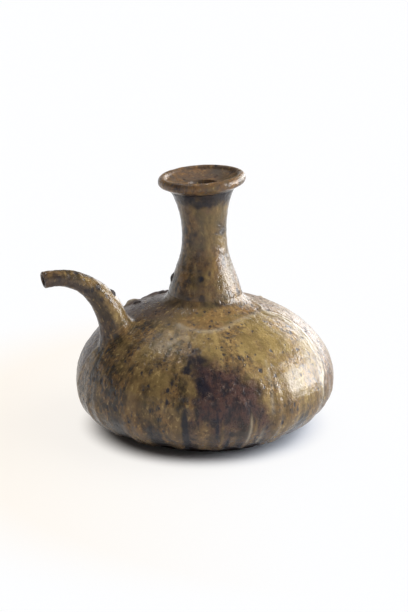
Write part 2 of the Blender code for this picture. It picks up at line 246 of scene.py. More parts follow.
def bore_radius(level):
    share = unit((level - NECK_WAIST_LEVEL) / (NECK_LENGTH - NECK_WAIST_LEVEL))
    above = hermite(share, NECK_WAIST_RADIUS - NECK_WALL, MOUTH_BORE_RADIUS, 0, 0)
    return np.where(level < NECK_WAIST_LEVEL, neck_radius(level) - NECK_WALL, above)


def run_length(path):
    """Length along a path at each of its points."""
    return joined([0], np.cumsum(np.linalg.norm(np.diff(path, axis=0), axis=1)))


def evenly(outline, step):
    """The same outline with points about a step apart."""
    along = run_length(outline)
    count = max(2, round(along[-1] / step) + 1)
    at = np.linspace(0, along[-1], count)
    return pairs(*(np.interp(at, along, column) for column in outline.T))


def lower_outline():
    height = np.linspace(BASE_TOP, BELLY_HEIGHT, 200)
    return pairs(belly_radius(height), height)


def upper_outline():
    end = math.degrees(math.acos(COIL_RADIUS / BELLY_RADIUS))
    return oval(0, BELLY_HEIGHT, BELLY_RADIUS, SHOULDER_RISE, 0, end, 300)


def coil_outline():
    """A hollow sweep from the shoulder up to the neck."""
    toe = np.array([COIL_RADIUS, shoulder_height(COIL_RADIUS)])
    share = COIL_RADIUS / BELLY_RADIUS
    slope = SHOULDER_RISE * share / BELLY_RADIUS / math.sqrt(1 - share**2)
    top = np.array([neck_radius(COIL_TOP_LEVEL) + COIL_OVERLAP, NECK_SEAT + COIL_TOP_LEVEL])
    leave = toe + np.array([-1, slope]) * COIL_LEAVE * (COIL_RADIUS - top[0])
    arrive = top + COIL_ARRIVE
    return bezier(np.linspace(0, 1, 80)[:, None], toe, leave, arrive, top)


def neck_outline():
    level = np.linspace(COIL_TOP_LEVEL, NECK_LENGTH, 300)
    return pairs(neck_radius(level), NECK_SEAT + level)


def lip_outline():
    """Up under the roll, round it, and down the dish to the pouring hole."""
    roll = oval(LIP_RADIUS - LIP_ROLL_HALF_WIDTH, LIP_TOP - LIP_ROLL_HALF_HEIGHT,
                LIP_ROLL_HALF_WIDTH, LIP_ROLL_HALF_HEIGHT, *LIP_ROLL_TURN, 90)
    edge, top = roll[-1]
    floor = LIP_TOP - DISH_DEPTH
    share = np.linspace(0, 1, 40)[1:]
    hole = MOUTH_BORE_RADIUS + MOUTH_EDGE
    height = hermite(share, top, floor, (floor - top) * DISH_STEEPNESS, 0)
    dish = pairs(edge + (hole - edge) * share, height)
    brink = oval(hole, floor - MOUTH_EDGE, MOUTH_EDGE, MOUTH_EDGE, 90, 180, 10)[1:]
    return joined([(NECK_TOP_RADIUS, LIP_SEAT)], roll, dish, brink)


def leaned(points):
    """Move points of the upright neck to where it leans to the spout."""
    run = LIP_TOP - NECK_SEAT
    share = np.maximum(0, (points[..., 2] - NECK_SEAT) / run)
    shift = NECK_LEAN * share**NECK_LEAN_POWER
    tilt = np.arctan(NECK_LEAN * NECK_LEAN_POWER * share ** (NECK_LEAN_POWER - 1) / run)
    moved = points.copy()
    moved[..., 0] = -shift + points[..., 0] * np.cos(tilt)
    moved[..., 2] = points[..., 2] + points[..., 0] * np.sin(tilt)
    return moved


# Glaze on the body

# The bead at the right, as (angle, distance from axis in mm)
RIGHT_LINE = ((-42, 47.2), (-36, 56), (-34, 65), (-35, 73), (-39, 84), (-43, 92.5), (-46.5, 97),
              (-49, 99), (-50, 100))

# Lines where two pours meet: size and half width of the bead, then the line
GLAZE_LINES = (
    (0.5, 0.0024, ((-134, 50), (-127, 53.4), (-112, 55.7), (-98, 53.3), (-83, 47.4), (-63, 44.8),
                   (-42, 47.2))),
    (0.7, 0.0014, ((-42, 47.2), (-30, 42), (-25, 36), (-24, 31))),
    (1.1, 0.0026, RIGHT_LINE),
    (0.8, 0.0018, ((-44, 48.5), (-40, 58), (-38, 66), (-39, 74), (-42.5, 84), (-46, 92), (-49.5, 97),
                   (-52, 99.6))),
    (0.8, 0.0013, ((-176, 82), (-182, 86), (-184.5, 94), (-186, 98.6), (-187, 100))),
    (0.8, 0.0016, ((-340, 60), (-322, 66), (-300, 58), (-280, 63), (-258, 70), (-238, 64), (-222, 74),
                   (-212, 90), (-208, 100))),
    (1.1, 0.0016, ((-340, 60), (-334, 76), (-337, 90), (-333, 100))),
)

# Outlines of coats and of the bare patch, as (angle, height in mm)
FRONT_COAT = ((-186, 38), (-184, 60), (-180, 72), (-176, 90), (-160, 93.5), (-141, 93.5),
              (-127, 92.6), (-112, 91.6), (-98, 92.7), (-83, 94.8), (-63, 95.7), (-42, 94.9),
              (-35.5, 91), (-34, 87), (-36, 81), (-40, 71), (-44, 59), (-48, 46), (-50, 30),
              (-47, 10), (-47, 0), (-188, 0), (-188, 20))
BACK_COAT = ((-340, 90), (-322, 86.5), (-300, 90.5), (-280, 88), (-258, 84), (-238, 87.5),
             (-222, 81.5), (-212, 66), (-208, 40), (-206, 0), (-333, 0), (-333, 40), (-336, 66),
             (-334, 80))
BARE_PATCH = ((-120.5, 82), (-115, 79), (-109, 76), (-102, 74), (-95.5, 71.5), (-89.5, 65),
              (-86, 55), (-84.5, 44), (-81.5, 30), (-83, 18), (-87, 8), (-124, 8), (-121, 31),
              (-118, 45.7), (-117.5, 58), (-120.5, 73))

# A thin drip of glaze to the right of the patch, as (angle, height in mm)
DRIP_LINE = ((-79.5, 74), (-80.9, 67.7), (-81.5, 58.7), (-82.6, 48.7), (-82.1, 40))

# The mound of fused bits behind the spout, as (angle, distance from axis in mm)
MOUND = ((-254, 50), (-250, 54), (-241, 60), (-233, 68))

# Streaks in the foot of the patch: angle, half width, top and bottom in mm, kind
PATCH_STREAKS = (
    (-120.5, 2.2, 50, 4, "dark"),
    (-112.5, 5, 41, 6, "run"),
    (-106.8, 1.3, 48, 22, "dark"),
    (-104.5, 1.1, 40, 8, "run"),
    (-98.5, 2.4, 24, 4, "run"),
    (-92.2, 1.3, 46, 14, "ridge"),
    (-90, 1.2, 40, 6, "run"),
    (-86, 1.6, 34, 10, "ridge"),
    (-101.5, 1.5, 26, 5, "dark"),
    (-94.5, 1.6, 22, 5, "dark"),
)

# Runs of glaze: how many, their tops, give or take, and where the bare foot ends between them
RUN_COUNT = 31
RUN_TOP = (0.046, 0.02)
RUN_FLOOR = 0.0105

# Distance from the axis at which angles become lengths
WALL_RADIUS = 0.085

BODY_ARC = joined(lower_outline(), upper_outline()[1:], coil_outline()[1:])
BODY_RUN = run_length(BODY_ARC)


def smooth_path(points, per_step=6):
    """A smooth curve through a few points."""
    points = np.array(points, dtype=float)
    padded = joined([2 * points[0] - points[1]], points, [2 * points[-1] - points[-2]])
    share = np.arange(per_step)[:, None] / per_step
    made = []
    for a, b, c, d in zip(padded, padded[1:], padded[2:], padded[3:]):
        made.append(bezier(share, b, b + (c - a) / 6, c - (d - b) / 6, c))
    return joined(*made, points[-1:])


def shoulder_path(line):
    """A glaze line as points on the shoulder."""
    path = smooth_path(line)
    radius = np.minimum(path[:, 1] / 1000, BELLY_RADIUS * 0.9999)
    return spun(radius, np.radians(path[:, 0]), shoulder_height(radius))


def wall_path(line):
    """A line given by heights as points on the body's wall."""
    path = smooth_path(line)
    height = path[:, 1] / 1000
    radius = np.interp(height, BODY_ARC[:, 1], BODY_ARC[:, 0])
    return spun(radius, np.radians(path[:, 0]), height)


def path_distance(points, path):
    """Distance of points from a path of straight steps."""
    best = np.full(points.shape[:-1], np.inf)
    for start, end in zip(path, path[1:]):
        step = end - start
        share = unit(((points - start) @ step) / (step @ step))
        gap = np.linalg.norm(points - start - share[..., None] * step, axis=-1)
        best = np.minimum(best, gap)
    return best


def arc_length(height):
    """Length along the outline from the foot up to a height."""
    return np.interp(height, BODY_ARC[:, 1], BODY_RUN)


def inside_depth(angle, height, corners):
    """How deep places lie inside an outline, negative outside, in metres."""
    corners = np.array(corners, dtype=float)
    line = pairs(np.radians(corners[:, 0]) * WALL_RADIUS, arc_length(corners[:, 1] / 1000))
    place = np.stack([np.radians(angle) * WALL_RADIUS, arc_length(height)], axis=-1)
    inside = np.zeros(angle.shape, dtype=bool)
    for start, end in zip(line, np.roll(line, -1, axis=0)):
        crosses = (start[1] > place[..., 1]) != (end[1] > place[..., 1])
        rise = end[1] - start[1]
        if rise == 0:
            continue
        at = start[0] + (place[..., 1] - start[1]) * (end[0] - start[0]) / rise
        inside ^= crosses & (place[..., 0] < at)
    gap = path_distance(place, joined(line, line[:1]))
    return np.where(inside, gap, -gap)


def glaze_runs(angle, radius, height):
    """Runs of glaze down the lower wall: how full, their beads, and where they end."""
    draw = np.random.default_rng(23)
    full, bead = np.zeros((2, *angle.shape))
    floor = np.full(angle.shape, RUN_FLOOR)
    for index in range(RUN_COUNT):
        centre = -360 * (index + draw.uniform(-0.36, 0.36)) / RUN_COUNT
        width = draw.uniform(0.0032, 0.0078)
        end = draw.uniform(0.001, 0.0085)
        start = RUN_TOP[0] + draw.uniform(-1, 1) * RUN_TOP[1]
        sway = draw.uniform(-0.12, 0.12) * (height - 0.03)
        across = near(np.radians(turned(angle - centre)) * radius + sway, 0, width)
        here = across * smooth(end - 0.001, end + 0.002, height)
        full = np.maximum(full, here * smooth(start + 0.02, start - 0.02, height))
        bead = np.maximum(bead, across * near(height, end + 0.0024, 0.0028))
        floor = np.minimum(floor, np.where(across > 0.3, end + (1 - across) * 0.006, floor))
    return full, bead, floor


def patch_streaks(angle, radius, height):
    """How much of each kind of streak lies in the foot of the bare patch."""
    made = {kind: np.zeros(angle.shape) for kind in ("run", "dark", "ridge")}
    for centre, half, top, bottom, kind in PATCH_STREAKS:
        across = near(np.radians(angle - centre) * radius, 0, half / 1000)
        top, bottom = top / 1000, bottom / 1000
        here = across * smooth(bottom - 0.002, bottom + 0.003, height)
        made[kind] = np.maximum(made[kind], here * smooth(top + 0.002, top - 0.012, height))
    return made


def relief(angle, radius, height):
    """Height of the surface over the plain outline, and the masks of its glaze."""
    points = spun(radius, np.radians(angle), height)
    flow = points / np.maximum(radius, 1e-6)[..., None] * np.clip(1.6 * radius, 0.03, 0.09)[..., None]
    level = height - NECK_SEAT
    flow[..., 2] = arc_length(height) * 0.12 + 0.5 * np.maximum(0, level)
    over_seat = height - LIP_SEAT
    on_body = smooth(0.004, -0.001, level)

    wander = rough(points, 0.016, 3)
    fine = rough(points + 0.5, 0.004, 2)
    streak = rough(flow, 0.007, 3)
    blotch = rough(points + 0.3, 0.006, 3)

    # Large unevenness of a hand-built pot, with a fuller belly under the spout
    lift = 0.0008 * rough(points, 0.055, 2) + 0.0003 * wander + 0.00012 * fine
    lift += 0.003 * near(angle, -182, 42) * near(height, 0.017, 0.015)
    lift += 0.00006 * np.sin(height * math.tau / 0.0064 + 4 * wander)

    # Pours of glaze and the beads where they meet
    front = inside_depth(angle, height, FRONT_COAT) + 0.002 * wander
    back = inside_depth(angle, height, BACK_COAT) + 0.003 * wander
    blur = 0.0016 + 0.014 * smooth(-122, -150, angle) * smooth(0.06, 0.085, height)
    coat = np.maximum(smooth(-blur, blur, front), smooth(-0.0022, 0.0022, back)) * on_body
    ridge = np.zeros(angle.shape)
    shaken = points + 0.0016 * np.stack([wander, streak, wander], axis=-1)
    for size, width, line in GLAZE_LINES:
        ridge = np.maximum(ridge, size * near(path_distance(shaken, shoulder_path(line)), 0, width))
    ridge *= on_body * np.clip(0.9 + 0.6 * wander + 0.3 * streak, 0.25, 1.3)
    # A pale band on the front shoulder, partly pale glaze and partly a painted sheen from the light above
    pale = near(angle, -134.5, 10) * near(height - 0.00032 * (angle + 134.5), 0.0847, 0.0022)
    pale *= 0.45 * smooth(-0.5, 0.5, streak + fine)
    drip = near(path_distance(shaken, wall_path(DRIP_LINE)), 0, 0.0013)
    drip *= np.clip(0.5 + 0.8 * streak, 0.1, 0.8)
    groove = near(path_distance(shaken, shoulder_path(RIGHT_LINE)), 0.0048, 0.0013) * on_body
    groove *= smooth(0.2, 0.45, 1 - ridge)
    lift += 0.0003 * coat + 0.0009 * ridge - 0.00035 * groove + 0.00015 * drip
    mound = near(path_distance(points, shoulder_path(MOUND)), 0, 0.0046) * on_body
    coat *= 1 - 0.9 * mound
    lift += (0.0021 + 0.0022 * rough(points, 0.011, 2)) * mound

    # Runs down the lower wall, which stop short of the foot
    full, bead, floor = glaze_runs(angle, radius, height)
    lift += (0.0009 * full + 0.00055 * bead) * on_body
    foot = smooth(floor + 0.0012, floor - 0.0012, height) * on_body
    lift -= 0.00035 * foot

    # The bare patch at the front, gritty towards its upper left
    low = smooth(0.046, 0.02, height)
    depth = inside_depth(angle, height, BARE_PATCH) + 0.0075 * wander + 0.004 * fine
    depth += 0.0045 * streak * (0.3 + low)
    soft = 0.007 + 0.006 * smooth(0.055, 0.075, height)
    bare = smooth(-soft, soft, depth) * (1 - 0.4 * low)
    streaks = patch_streaks(angle, radius, height)
    bare *= 1 - unit(0.9 * streaks["run"] + 0.7 * streaks["ridge"])
    grit = smooth(0.05, 0.5, rough(points, 0.003, 2)) * bare * smooth(0.04, 0.06, height)
    lift += 0.00022 * near(depth, -0.001, 0.003) * on_body - 0.00035 * bare + 0.0006 * grit

    # Blue-black glaze: left of the patch, between runs, under the lip. Painted shade darkens the lowest
    # wall and the groove by the right-hand bead
    edge = near(depth, 0.001, 0.005) * smooth(-108, -115, angle) * near(angle, -121, 11)
    edge *= smooth(-0.7, 0.4, fine + wander) * (0.3 + 0.7 * smooth(0.045, 0.065, height))
    between_runs_and_low_shade = (1 - full) ** 2 * low * on_body * smooth(-0.45, 0.25, streak)
    # Painted shade: the lowest wall darkens towards the foot
    between_runs_and_low_shade += 0.5 * smooth(0.022, 0.008, height) * (1 - 0.6 * full)
    hang = over_seat + 0.004 * wander + 0.0025 * blotch + 0.0015 * fine + 0.001 * streak
    under_lip = smooth(-0.0135, -0.002, hang)
    under_lip *= 1 + 0.15 * np.minimum(blotch + fine, 0)
    under_lip += 0.25 * near(over_seat, -0.018, 0.009)
    under_lip *= 0.85 * smooth(0.003, 0.0005, over_seat)
    root = near(level, 0.005, 0.007) * smooth(0, 0.5, wander) * 0.6
    dark = edge + 0.85 * between_runs_and_low_shade * (1 - 0.8 * bare) + under_lip + root
    # Painted shade in the groove beside the right-hand bead
    dark = unit(dark + streaks["dark"] + 0.45 * groove)
    sooty = near(angle, -115, 8.5) * smooth(0.045, 0.062, height) * smooth(0.088, 0.082, height)
    dark = np.maximum(dark, 0.9 * sooty * smooth(-0.7, 0.4, rough(points, 0.0055, 2)))

    # Thin, purplish glaze: left shoulder, the left rim, and the mound
    left = near(angle, -205, 30) * smooth(0.03, 0.06, height)
    shoulder = smooth(0.07, 0.092, height) * near(angle, -200, 42)
    thin = unit((left + shoulder) * (1 - 0.8 * coat) + mound) * on_body

    # Rosy streaked glaze beyond the right-hand bead
    rosy = smooth(-52, -34, angle) + smooth(-300, -335, angle)
    rosy = unit(rosy * on_body * (1 - coat))

    # Warm ochre on the collar round the neck's root and on the lip
    collar = on_body * (1 - coat) * smooth(0.085, 0.091, height) * near(angle, -95, 70)
    lip = smooth(0.002, 0.005, over_seat)
    neck = (1 - on_body) * (1 - lip)
    warm = unit(0.7 * collar + lip * (0.5 + 0.5 * wander) + neck * (0.05 + 0.5 * wander))
    blots = 0.65 * neck * smooth(-0.05, 0.6, blotch)
    blots *= 1 - 0.75 * near(over_seat, -0.013, 0.01)
    dark = unit(dark + blots + 0.6 * lip * near(angle, -146, 10) * smooth(0.025, 0.03, radius))

    # How rich the glaze is, with painted light: palest at the upper right where the light falls, dullest
    # at the lower left in painted shade, with some tone that differs at random
    rich_and_lit = near(turned(angle + 70), 0, 85) * (0.35 + 0.65 * smooth(0.01, 0.07, height))
    rich_and_lit = unit((rich_and_lit + 0.25 * wander) * (1 - 0.5 * neck) + 0.3 * collar + 0.2 * neck)

    return lift, dict(
        coat=np.maximum(coat, neck * (0.42 + 0.5 * streak) + 0.5 * collar),
        # The ridge mask also carries the pale band's painted sheen
        ridge=unit(ridge + drip + pale + 0.6 * streaks["ridge"]),
        run=np.maximum(full * on_body * (1 - bare), streaks["run"]),
        dry=near(turned(angle + 300), 0, 46),
        calm=unit(0.8 * neck + 0.35 * lip),
        bare=bare, dark=dark, thin=thin, rosy=rosy, warm=warm, rich_and_lit=rich_and_lit, grit=grit, foot=foot, flow=flow,
    )


# Meshes


def outward(outline):
    """Unit normals of an outline that runs upward, pointing from the axis."""
    along = direction(np.gradient(outline, axis=0))
    return pairs(along[:, 1], -along[:, 0])


def glazed_rows(outline, sides):
    """Points and masks of an outline spun round the axis and raised by the relief."""
    angle = -360 * np.arange(sides) / sides
    angle, radius, height = np.broadcast_arrays(angle, outline[:, :1], outline[:, 1:])
    lift, masks = relief(angle, radius, height)
    normal = outward(outline)
    points = spun(radius + normal[:, :1] * lift, np.radians(angle), height + normal[:, 1:] * lift)
    return points, masks


def plain_rows(outline, sides):
    """Points of a hidden outline spun round the axis."""
    outline = np.asarray(outline, dtype=float)
    return spun(outline[:, :1], np.radians(-360 * np.arange(sides) / sides), outline[:, 1:])


def quads(rows, sides, closed):
    """Corner numbers of the faces between rows of a ring."""
    row = np.arange(rows if closed else rows - 1)[:, None] * sides
    below = (row + sides) % (rows * sides)
    side = np.arange(sides)
    after = (side + 1) % sides
    return np.stack([row + side, row + after, below + after, below + side], axis=-1).reshape(-1, 4)


def capped(points):
    """Faces of an open ring of rows, with a cap at each end."""
    rows, sides = points.shape[:2]
    ends = [tuple(range(sides))[::-1], tuple(range((rows - 1) * sides, rows * sides))]
    return list(quads(rows, sides, closed=False)) + ends


def make_mesh(name, points, faces, masks):
    """A smooth-shaded object with its masks as attributes."""
    mesh = bpy.data.meshes.new(name)
    mesh.from_pydata(points.reshape(-1, 3), [], [tuple(face) for face in faces])
    mesh.update()
    for key, values in masks.items():
        wide = values.shape[points.ndim - 1 :]
        attribute = mesh.attributes.new(key, "FLOAT_VECTOR" if wide else "FLOAT", "POINT")
        data = np.zeros((len(mesh.vertices), *wide), dtype=np.float32)
        flat = values.reshape(-1, *wide)
        data[: len(flat)] = flat
        attribute.data.foreach_set("vector" if wide else "value", data.ravel())
    mesh.shade_smooth()
    mesh.set_sharp_from_angle(angle=math.radians(SHARP_ANGLE))
    made = bpy.data.objects.new(name, mesh)
    bpy.context.scene.collection.objects.link(made)
    return made


def take_place(piece, finish, body_slot, *nodes):
    """Let a piece stand for CAD nodes, with a finish of its own."""
    piece.data.materials.append(finish)
    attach(piece, "root")
    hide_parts(*nodes)


def hidden_sides():
    """Unseen outline of each turned piece, from the end of its outside back to its start."""
    height = np.linspace(BELLY_HEIGHT, BASE_TOP, HIDDEN_ROWS)
    lower = pairs(belly_radius(height, BODY_WALL), height)

    bore = NECK_FOOT_RADIUS - NECK_WALL
    reach = BELLY_RADIUS - BODY_WALL
    radius = np.array([COIL_RADIUS - COIL_OVERLAP, NECK_FOOT_RADIUS, bore])
    start = math.degrees(math.acos(bore / reach))
    inside = oval(0, BELLY_HEIGHT, reach, SHOULDER_RISE - BODY_WALL, start, 0, HIDDEN_ROWS)
    upper = joined(pairs(radius, shoulder_height(radius) - TUCK), inside)

    coil_top = neck_radius(COIL_TOP_LEVEL)
    radius = np.linspace(NECK_FOOT_RADIUS - SMALL_TUCK, COIL_RADIUS - 0.0006, 6)
    floor = pairs(radius, shoulder_height(radius) - 0.001)
    coil = joined([(coil_top - SMALL_TUCK, NECK_SEAT + COIL_TOP_LEVEL)], floor)

    level = np.linspace(NECK_LENGTH, 0, HIDDEN_ROWS + 6)
    root = [(NECK_FOOT_RADIUS - TUCK, NECK_SEAT), (coil_top - TUCK, NECK_SEAT + 0.0058)]
    neck = joined(pairs(bore_radius(level), NECK_SEAT + level), root)

    seat = LIP_SEAT + 0.0001
    lip = [(MOUTH_BORE_RADIUS, LIP_TOP - DISH_DEPTH - 0.003), (MOUTH_BORE_RADIUS, seat),
           (NECK_TOP_RADIUS - SMALL_TUCK, seat)]
    return lower, upper, coil, neck, lip


# Turned pieces from the foot up: node, name, slot, outline, row step, sides, lean with the neck
TURNED = (
    ("lower_body", "lower_body_glazed", "ochre_glaze", lower_outline, ROW_STEP, BODY_SIDES, False),
    ("upper_body", "upper_body_glazed", "ochre_glaze", upper_outline, ROW_STEP, BODY_SIDES, False),
    ("neck_luting_coil", "neck_coil_glazed", "brown_glaze", coil_outline, FINE_ROW_STEP, NECK_SIDES, True),
    ("neck", "neck_glazed", "ochre_glaze", neck_outline, ROW_STEP, NECK_SIDES, True),
    ("rolled_lip", "rolled_lip_glazed", "brown_glaze", lip_outline, FINE_ROW_STEP, NECK_SIDES, True),
)


def make_turned(finish):
    """Closed rings: the glazed outside of each node, then its hidden sides."""
    for (node, name, body_slot, outline, step, sides, lean), hidden in zip(TURNED, hidden_sides()):
        points, masks = glazed_rows(evenly(outline(), step), sides)
        points = joined(points, plain_rows(hidden, sides))
        if lean:
            points = leaned(points)
        piece = make_mesh(name, points, quads(len(points), sides, closed=True), masks)
        take_place(piece, finish, body_slot, node)


def make_base(finish):
    """The foot: a turned slab with a worn edge, under the runs."""
    sides = BODY_SIDES // 2
    height = np.linspace(FOOT_EDGE, BASE_TOP, 10)
    side = pairs(belly_radius(height), height)
    edge = side[0, 0] - FOOT_EDGE
    corner = oval(edge, FOOT_EDGE, FOOT_EDGE, FOOT_EDGE, -90, 0, 6)[:-1]
    under = pairs(np.linspace(BASE_CENTRE, edge, 24), np.zeros(24))[:-1]
    worn, _ = glazed_rows(joined(corner, side), sides)
    worn[..., 2] = np.maximum(worn[..., 2], 0)
    lid = BASE_TOP - 0.0002
    top = plain_rows([(BASE_RADIUS - BODY_WALL, lid), (BASE_CENTRE, lid)], sides)
    points = joined(plain_rows(under, sides), worn, top)
    piece = make_mesh("foot_slab", points, capped(points), {})
    take_place(piece, finish, "bare_clay", "base_disc")


# Spout

SPOUT_SIDEWAYS = np.array([0, 1, 0])


def spout_line(share):
    """Centre and upward direction at shares of the spout's length."""
    leave = math.radians(SPOUT_ROOT_ANGLE)
    drop = math.radians(SPOUT_TIP_DROP)
    a = np.array([-SPOUT_ROOT_OFFSET, 0, shoulder_height(SPOUT_ROOT_OFFSET)])
    d = a + (-SPOUT_REACH, 0, SPOUT_RISE)
    b = a + SPOUT_ROOT_BEND * np.array([-math.cos(leave), 0, math.sin(leave)])
    c = d + SPOUT_TIP_BEND * np.array([math.cos(drop), 0, math.sin(drop)])
    at = np.maximum(share, 0)[..., None]
    middle = bezier(at, a, b, c, d) + (b - a) * 3 * np.minimum(share, 0)[..., None]
    along = direction((b - a) * (1 - at) ** 2 + (c - b) * 2 * (1 - at) * at + (d - c) * at**2)
    return middle, np.cross(SPOUT_SIDEWAYS, along)


def spout_radius(share):
    at = unit(share)
    radius = SPOUT_TIP_RADIUS + (SPOUT_ROOT_RADIUS - SPOUT_TIP_RADIUS) * (1 - at) ** SPOUT_TAPER_POWER
    return radius + SPOUT_TIP_FLARE * at**8


def spout_points(share, around, radius):
    middle, upper = spout_line(share)
    out = upper * np.cos(around)[..., None] + SPOUT_SIDEWAYS * np.sin(around)[..., None]
    return middle + radius[..., None] * out


def shoulder_relief(points):
    """Distance from the axis, relief and masks of the shoulder under points."""
    radius = np.minimum(np.hypot(points[..., 0], points[..., 1]), BELLY_RADIUS * 0.999)
    angle = np.degrees(np.arctan2(points[..., 1], points[..., 0]))
    lift, masks = relief(np.where(angle > 0, angle - 360, angle), radius, shoulder_height(radius))
    return radius, lift, masks


def on_shoulder(points, gap):
    """Points moved up or down to lie a gap over the shoulder's relief."""
    radius, lift, _ = shoulder_relief(points)
    height = shoulder_height(radius)
    rise = (height - BELLY_HEIGHT) / SHOULDER_RISE**2
    flat = radius / BELLY_RADIUS**2
    moved = points.copy()
    moved[..., 2] = height + gap + lift * np.hypot(rise, flat) / np.maximum(rise, 1e-9)
    return moved


def spout_root_share(around, gap):
    """Share of the length where the tube's outside meets the shoulder."""
    low = np.full(around.shape, -0.6)
    high = np.full(around.shape, 0.6)
    for _ in range(30):
        middle = (low + high) / 2
        points = spout_points(middle, around, spout_radius(middle) + gap)
        above = points[..., 2] > shoulder_height(np.hypot(points[..., 0], points[..., 1]))
        high = np.where(above, middle, high)
        low = np.where(above, low, middle)
    return high


def make_spout(finish):
    """The hollow tube, with the coil at its root smoothed out onto the shoulder."""
    sides = SPOUT_SIDES
    around = math.tau * np.arange(sides) / sides
    length = math.hypot(SPOUT_REACH, SPOUT_RISE)

    # A fillet from the shoulder up to the tube, bent at where the two would meet
    foot = spout_root_share(around, 0)
    reach = SPOUT_COIL_WIDTH * (1 + 0.2 * np.cos(around))
    spread = spout_root_share(around, reach)
    start = foot + SPOUT_COIL_HEIGHT * (1 + 0.35 * np.cos(around)) / length
    toe = on_shoulder(spout_points(spread, around, spout_radius(spread) + reach), -0.0003)
    corner = on_shoulder(spout_points(foot, around, spout_radius(foot)), 0)
    top = spout_points(start, around, spout_radius(start))
    climb = np.linspace(0, 1, FILLET_ROWS)[:, None]
    rise = climb[..., None]
    fillet = (1 - rise) ** 2 * toe + 2 * rise * (1 - rise) * corner + rise**2 * top
    tube_share = start + (1 - start) * np.linspace(0, 1, TUBE_ROWS)[1:, None]
    tube = spout_points(tube_share, around, spout_radius(tube_share))
    shares = joined(spread + (start - spread) * climb, tube_share)
    climbed = joined(climb + 0 * around, 1 + 0 * tube_share)
    outside = joined(fillet, tube)

    # Unevenness of the clay, with a fuller root on the side of the neck
    lump = rough(outside, 0.022, 2)
    fine = rough(outside + 0.5, 0.0034, 2)
    blotch = rough(outside + 0.3, 0.007, 3)
    swell = near(shares, 0.13, 0.12) * (0.5 + 0.5 * np.cos(around)) ** 2
    push = direction(outside - spout_line(shares)[0])
    raised = 0.0007 * lump + 0.00025 * blotch + 0.0003 * fine + SPOUT_SWELL * swell
    outside = outside + push * (raised * smooth(0.5, 1, climbed))[..., None]

    # The rounded rim and the bore
    bend = np.linspace(0, math.pi, 9)[1:-1, None]
    share = 1 + 0.0009 * np.sin(bend) / length + 0 * around
    rim = spout_points(share, around, spout_radius(share) - SPOUT_TIP_WALL / 2 * (1 - np.cos(bend)))
    bottom = spout_root_share(around, -SPOUT_ROOT_WALL)
    share = bottom + (1 - bottom) * np.linspace(1, 0, 24)[:, None]
    wall = SPOUT_ROOT_WALL + (SPOUT_TIP_WALL - SPOUT_ROOT_WALL) * unit(share)
    bore = spout_points(share, around, spout_radius(share) - wall)
    bore[-1, :, 2] -= 0.0015
    points = joined(outside, rim, bore)

    # Glaze of the spout, which runs into that of the shoulder at the toe
    side = np.degrees(around)
    upper = near(turned(side), 0, 55)
    # Golden glaze on the upper face, partly a painted highlight where the light falls on the spout
    gold_and_highlight = near(turned(side - 312), 0, 42) * (1 - 0.7 * smooth(0.5, 0.8, shares))
    dark = 0.8 * near(shares, 0.52, 0.045) * near(side, 300, 32) + 0.6 * smooth(0.1, 0.7, blotch)
    dark += 0.45 * near(shares, 0.36, 0.12) * near(side, 280, 40) * smooth(-0.3, 0.4, blotch)
    own = dict(
        coat=unit(0.35 + 0.4 * upper + 0.5 * gold_and_highlight + 0.35 * lump),
        dark=unit(dark + 0.5 * near(shares, 1.02, 0.03)),
        thin=0.8 * near(side, 180, 70),
        calm=0.25,
        warm=unit(np.maximum(upper, gold_and_highlight) * (0.4 + blotch) + 0.5 * swell),
        rich_and_lit=unit(0.8 * gold_and_highlight + 0.3 * lump),
        flow=spun(0.03 + 0 * shares, around, 0.02 * shares),
    )
    masks = shoulder_relief(outside)[2]
    share = smooth(0.05, 1, climbed)
    for key, values in masks.items():
        mine = own.get(key, 0)
        here = share[..., None] if values.ndim > share.ndim else share
        masks[key] = values + (mine - values) * here
    piece = make_mesh("spout_glazed", points, quads(len(points), sides, closed=True), masks)
    take_place(piece, finish, "ochre_glaze", "spout", "spout_luting_coil")


# Kiln crumbs

CRUMB_SPREAD = 1.3
CRUMB_RISE = 1.05
CRUMB_SINK = 0.0012
CRUMB_SKIRT = 0.0005
CRUMB_RINGS = 22
CRUMB_SIDES = 64

# Bits on the shoulder and elsewhere: node, half widths round and along, height
CRUMBS = (
    ("shoulder_crumb_1", 0.0055, 0.0075, 0.0022),
    ("shoulder_crumb_2", 0.0035, 0.004, 0.0016),
    ("shoulder_crumb_3", 0.004, 0.0045, 0.0018),
    ("shoulder_crumb_4", 0.003, 0.0035, 0.0015),
    ("neck_crumb", 0.003, 0.004, 0.0012),
    ("spout_crumb", 0.0026, 0.0033, 0.0018),
)


def crumb_seat(node):
    """Where a bit is fused on, and the surface's normal there."""
    middle = np.mean(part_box(node), axis=0)
    radius = math.hypot(middle[0], middle[1])
    out = direction(middle * (1, 1, 0))
    if node.startswith("shoulder"):
        seat = out * radius + UP * shoulder_height(radius)
        normal = out * radius / BELLY_RADIUS**2 + UP * (seat[2] - BELLY_HEIGHT) / SHOULDER_RISE**2
    elif node.startswith("neck"):
        seat = leaned(out * neck_radius(middle[2] - NECK_SEAT) + UP * middle[2])
        normal = out + 0.25 * UP
    else:
        share = np.linspace(0, 1, 200)
        line, _ = spout_line(share)
        best = np.argmin(np.linalg.norm(line - middle, axis=1))
        normal = middle - line[best]
        seat = line[best] + direction(normal) * spout_radius(share[best])
    return seat, direction(normal)


